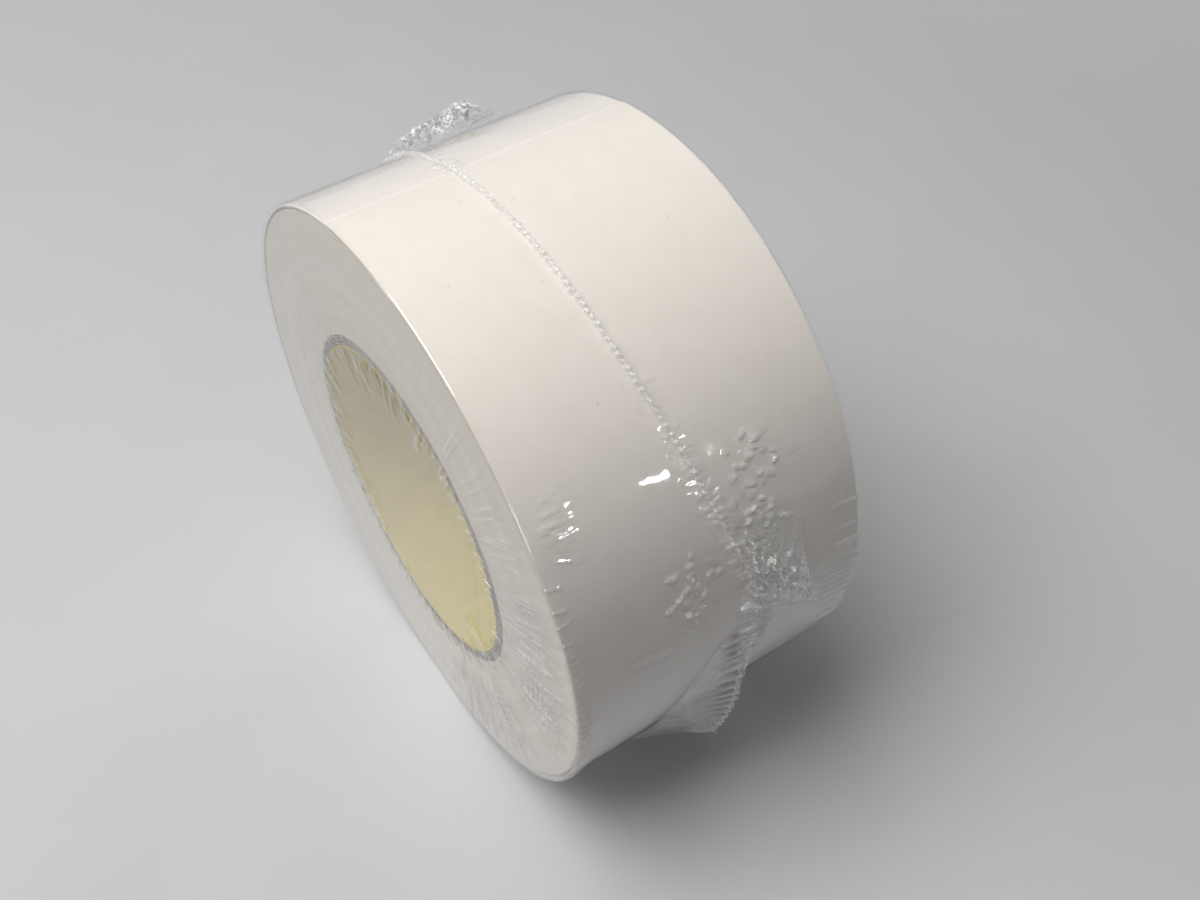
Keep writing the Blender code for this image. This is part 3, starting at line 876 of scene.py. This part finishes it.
def corner_ear(name, corners, seed):
    """A flat bag between four corners, each an angle, a place behind the seal and a lift off the rim.

    Its middle is the even blend of the corners, with its outer edge bowed in. The two plies part by a puff
    times a sine along each side, and each is folded on its own, by height * (1.6 - |field|) and finer
    folds. Both die away to nothing at the welded edge, and the folds are lower towards the first side. The
    welded hem on the far side and the outer edge stands up and is white, the folds are white along their
    crests, and their sides that look down are grey, a painted shade.
    """
    share = np.linspace(0, 1, EAR_COLUMNS)[:, None]
    out = np.linspace(0, 1, EAR_ROWS)[None, :]

    def blend(which, scale):
        a, b, c, d = (corner[which] * scale for corner in corners)
        return (a * (1 - share) + b * share) * (1 - out) + (c * (1 - share) + d * share) * out

    root = np.radians(corners[0][0] + (corners[1][0] - corners[0][0]) * share)
    beside = corners[0][1] + (corners[1][1] - corners[0][1]) * share**4
    tip = seal_line(np.mean(root)) + corners[2][1] + (corners[3][1] - corners[2][1]) * share
    angle = blend(0, math.pi / 180) + 0.012 * beads(2 * math.pi * share, 2, 9, 6, seed) * out
    along = (seal_line(root) + beside) * (1 - out) + (tip - EAR_BOW * np.sin(math.pi * share**1.5)) * out
    inside = np.minimum(np.minimum(share, 1 - share), np.minimum(out, 1 - out))
    edge = np.clip(inside / 0.08, 0, 1) ** 0.8 * np.clip((share - 0.1) / 0.45, 0.25, 1)
    welded = np.exp(-((np.minimum(1 - share, 1 - out) / EAR_HEM) ** 2)) * np.clip((share - 0.2) / 0.4, 0, 1)
    arc = angle * FILM_RADIUS
    plies = []
    white_and_painted_shade_shares = []
    for sign, ply_seed in ((1, seed), (-1, seed + 50)):
        coarse = crumpled(arc, along, EAR_CRUMPLE, ply_seed)
        fine = crumpled(arc, along, EAR_CRUMPLE / 2.6, ply_seed + 7)
        folded = 1.6 - np.abs(coarse) + 0.4 * (1 - np.abs(fine))
        puff = sign * EAR_PUFF * np.sin(math.pi * share) * np.sin(math.pi * out)
        height = EAR_FOOT + blend(2, 1) + edge * EAR_CRUMPLE_HEIGHT * folded + puff + EAR_HEM_LIFT * welded
        radius = FILM_RADIUS + np.maximum(height, EAR_CLEAR + EAR_PLY_GAP / 2 * (sign + 1) * edge)
        plies.append(on_roll(angle, above_floor(angle, radius, EAR_FLOOR_GAP), along))
        across = np.gradient(height, axis=0) / np.gradient(arc, axis=0)
        # Painted shade: the sides of the folds that look down are painted grey
        painted_slope_shading = np.clip(EAR_PAINTED_SHADE * across * np.cos(angle), 0, PAINTED_SLOPE_SHADING_MOST)
        ridges = 1.5 * np.exp(-((coarse / 0.12) ** 2)) * edge
        white_and_painted_shade_shares.append(np.maximum(ridges - painted_slope_shading, 3.6 * welded - 1))
    return grid_mesh(
        name,
        np.concatenate((plies[0], plies[1][:, ::-1]), axis=1),
        round_rows=True,
        whitening_and_painted_shading=np.concatenate((white_and_painted_shade_shares[0], white_and_painted_shade_shares[1][:, ::-1]), axis=1),
    )


for number, (ear_node, ear_corners) in enumerate(EARS.items()):
    ear_mesh = corner_ear(ear_node + "_bag", ear_corners, 61 + number)
    add_piece(ear_mesh, ear_node, CLEAR_FILM, 50)

# Lower ear
# At the lower corner the front web never reached the rim: it runs as a taut tent from the rim out to the
# fin, with a fold along its lower edge, and back under to the rim.

TENT_TOP = math.radians(-3)
TENT_FOOT = math.radians(-64)
TENT_FOLD = math.radians(-38)
TENT_WIDTH = 0.0220
TENT_BESIDE = 0.0006
TENT_BELOW = 0.0002
TENT_COLUMNS = 420
TENT_ROWS = 70
TENT_BELOW_CREST = 0.0004
TENT_GATHER = math.radians(0.75)
TENT_GATHER_HEIGHT = 0.0011
TENT_GATHER_REACH = 0.0048
TENT_GAP_PAINTED_SHADE = 1.6
TENT_HEM = 0.0004
TENT_FLOOR_GAP = 0.0004


def lower_tent(name):
    """A tent of two taut sheets that share a fold.

    At each step a straight line runs from the fin's crest to a foot on the rim. The upper sheet's foot lies
    as far round as a tangent to the rim reaches, which is the angle whose cosine is rim / crest, and draws
    back to the fold. Gathers cross both sheets near the crest, as ridges of height * (1 - |sin|) that die
    away with the distance from it. They are white along their tops, with painted shade between them, and
    the fold and the crest are white.
    """
    step = np.linspace(0, 2, TENT_COLUMNS)[:, None]
    down = np.linspace(0, 1, TENT_ROWS)[None, :] ** 1.6
    rise = 1 - np.abs(step - 1)
    upper_crest = TENT_TOP + (FIN_PEAK - TENT_TOP) * step
    lower_crest = FIN_PEAK + (TENT_FOOT - FIN_PEAK) * (step - 1)
    crest_angle = np.where(step < 1, upper_crest, lower_crest)
    rim = FILM_RADIUS + TENT_BELOW
    crest_radius = rim + (FIN_HEIGHT - TENT_BELOW_CREST) * rise
    reach = np.arccos(rim / crest_radius)
    fold_reach = (TENT_FOLD - FIN_PEAK) / reach.max()
    upper_foot = crest_angle + reach * (1 + (fold_reach - 1) * step**3)
    foot_angle = np.where(step < 1, upper_foot, TENT_FOLD + (TENT_FOOT - TENT_FOLD) * (step - 1))
    crest_along = seal_line(crest_angle) - TENT_BESIDE
    foot_along = seal_line(foot_angle) - TENT_BESIDE - TENT_WIDTH * rise
    from_crest = (crest_along - foot_along) * down
    crest = on_roll(crest_angle, crest_radius, crest_along)
    foot = on_roll(foot_angle, rim, foot_along)
    taut = crest + (foot - crest) * down[..., None]
    angle = np.arctan2(taut[..., 2] - AXIS_HEIGHT, taut[..., 0])
    wave = np.abs(np.sin(angle / TENT_GATHER + 1.2 * swells(angle, 0.25, 4, 71)))
    near = np.exp(-((from_crest / TENT_GATHER_REACH) ** 2)) * np.clip(rise * 5, 0, 1)
    points = taut + on_roll(angle, TENT_GATHER_HEIGHT * (1 - wave) * near, 0) - (0, 0, AXIS_HEIGHT)
    points[..., 2] = np.maximum(points[..., 2], TENT_FLOOR_GAP)
    at_fold = np.exp(-(((step - 1) / 0.012) ** 2))
    at_crest = np.exp(-((from_crest / TENT_HEM) ** 2)) * (rise > 0.05)
    hem = 3 * np.maximum(at_fold, at_crest)
    haze = np.where(step < 1, 0.4, 0.2)
    # Painted shade: the hollows between the gathers are painted grey
    gather_white_and_painted_shade = 1.5 * np.exp(-((wave / 0.25) ** 2)) - TENT_GAP_PAINTED_SHADE * np.clip(wave - 0.4, 0, 1)
    whitening_and_painted_shading = np.maximum(gather_white_and_painted_shade * near + haze * (1 - near), hem - 1)
    add_film(name, "film_ear_lower", points, whitening_and_painted_shading)


lower_tent("film_ear_lower_tent")

# Floor and light
# A plain matt sheet lies under the roll and fades into an even pale grey all round. A broad soft lamp
# overhead and a little in front, a low one in front and a fill behind light the roll. Four others only
# glint in the film.

FLOOR_SIZE = 1.2
FLOOR_MOTTLE = 0.05
FLOOR_FADE_START = 0.30
FLOOR_FADE_END = 0.75
WORLD_LIGHT = 0.11
floor_side = np.linspace(-FLOOR_SIZE, FLOOR_SIZE, 3)
floor_across, floor_along = np.meshgrid(floor_side, floor_side, indexing="ij")
floor_points = np.stack((floor_across, floor_along, np.zeros((3, 3))), axis=-1)
floor_mesh = grid_mesh("floor_sheet", floor_points)

# Matt paper sheet, uncoated: an even cool grey, faintly mottled
floor_finish, floor_tree, floor_shader, floor_place = new_material("matt floor sheet")
mottle = {"Vector": floor_place, "Scale": 1 / FLOOR_MOTTLE, "Detail": 3}
floor_noise = add_node(floor_tree, "TexNoise", mottle)
floor_blend = {0: floor_noise.outputs["Fac"], 6: linear("#C9CACE"), 7: linear("#CED0D4")}
floor_tone = add_node(floor_tree, "Mix", floor_blend, data_type="RGBA")
floor_tree.links.new(floor_tone.outputs[2], floor_shader.inputs["Base Color"])
floor_shader.inputs["Roughness"].default_value = 0.8
floor_far = add_node(floor_tree, "VectorMath", {0: floor_place}, operation="LENGTH")
fading = {"From Min": FLOOR_FADE_START, "From Max": FLOOR_FADE_END, "To Min": 1, "To Max": 0}
floor_fade = add_node(floor_tree, "MapRange", {"Value": floor_far.outputs["Value"], **fading})
floor_tree.links.new(floor_fade.outputs[0], floor_shader.inputs["Alpha"])
floor_mesh.materials.append(floor_finish)
floor = bpy.data.objects.new("floor_sheet", floor_mesh)
bpy.context.scene.collection.objects.link(floor)

# The grey shows at its full strength to the eye and in gloss, and lights the roll only a little
world = bpy.data.worlds.new("even grey")
world.use_nodes = True
world_tree = world.node_tree
seen = add_node(world_tree, "LightPath", {})
direct = {0: seen.outputs["Is Camera Ray"], 1: seen.outputs["Is Glossy Ray"]}
shown = add_node(world_tree, "Math", direct, operation="MAXIMUM")
bent = {0: shown.outputs[0], 1: seen.outputs["Is Transmission Ray"]}
through = add_node(world_tree, "Math", bent, operation="MAXIMUM")
level = add_node(world_tree, "MapRange", {"Value": through.outputs[0], "To Min": WORLD_LIGHT, "To Max": 1})
sky = world_tree.nodes["Background"]
sky.inputs["Color"].default_value = linear("#C8CACE")
world_tree.links.new(level.outputs[0], sky.inputs["Strength"])
bpy.context.scene.world = world


def add_lamp(name, place, colour, lights=True, glints=True, **settings):
    """A square lamp that faces the middle of the roll.

    One that only glints is mirrored in the gloss and lights nothing, and one that only lights isn't
    mirrored.
    """
    lamp = bpy.data.lights.new(name, "AREA")
    lamp.color = linear(colour)[:3]
    for key, value in settings.items():
        setattr(lamp, key, value)
    stand = bpy.data.objects.new(name, lamp)
    stand.location = place
    middle = Vector((0, 0, AXIS_HEIGHT))
    stand.rotation_euler = (middle - stand.location).to_track_quat("-Z", "Y").to_euler()
    stand.visible_diffuse = lights
    stand.visible_glossy = glints
    bpy.context.scene.collection.objects.link(stand)


add_lamp("broad overhead lamp", (-0.10, -0.31, 0.84), "#FFFCF8", energy=7.5, size=0.6)
add_lamp("small lamp", (1.03, 0.44, 0.50), "#FFFFFF", lights=False, energy=0.35, size=0.04)
add_lamp("low right lamp", (1.14, -0.18, 0.19), "#FFFFFF", lights=False, energy=0.42, size=0.12)
add_lamp("low rear lamp", (0.74, 0.90, 0.31), "#FFFFFF", lights=False, energy=0.3, size=0.10)
add_lamp("low front lamp", (-0.72, -0.94, 0.20), "#FFFFFF", energy=0.9, size=0.18)
add_lamp("rear fill", (-0.62, 1.02, 0.55), "#FFFDF9", glints=False, energy=2.2, size=0.5)
add_lamp("front right panel", (0.73, -0.67, 0.44), "#FFFFFF", lights=False, energy=1.9, size=0.32)

# Camera
# The photograph's own place and lens, found by fitting the two rims and the core's ring.

CAMERA_PLACE = (0.17911, -0.10370, 0.30889)
CAMERA_HEADING = math.radians(56.068)
CAMERA_DIP = math.radians(49.739)
CAMERA_LENS = 40.137
CAMERA_SENSOR = 36
view = bpy.data.cameras.new("camera")
view.lens = CAMERA_LENS
view.sensor_width = CAMERA_SENSOR
camera = bpy.data.objects.new("camera", view)
camera.location = CAMERA_PLACE
camera.rotation_euler = (math.pi / 2 - CAMERA_DIP, 0, CAMERA_HEADING)
bpy.context.scene.collection.objects.link(camera)
bpy.context.scene.camera = camera
bpy.context.scene.view_settings.view_transform = "Standard"
bpy.context.scene.cycles.transparent_max_bounces = 24
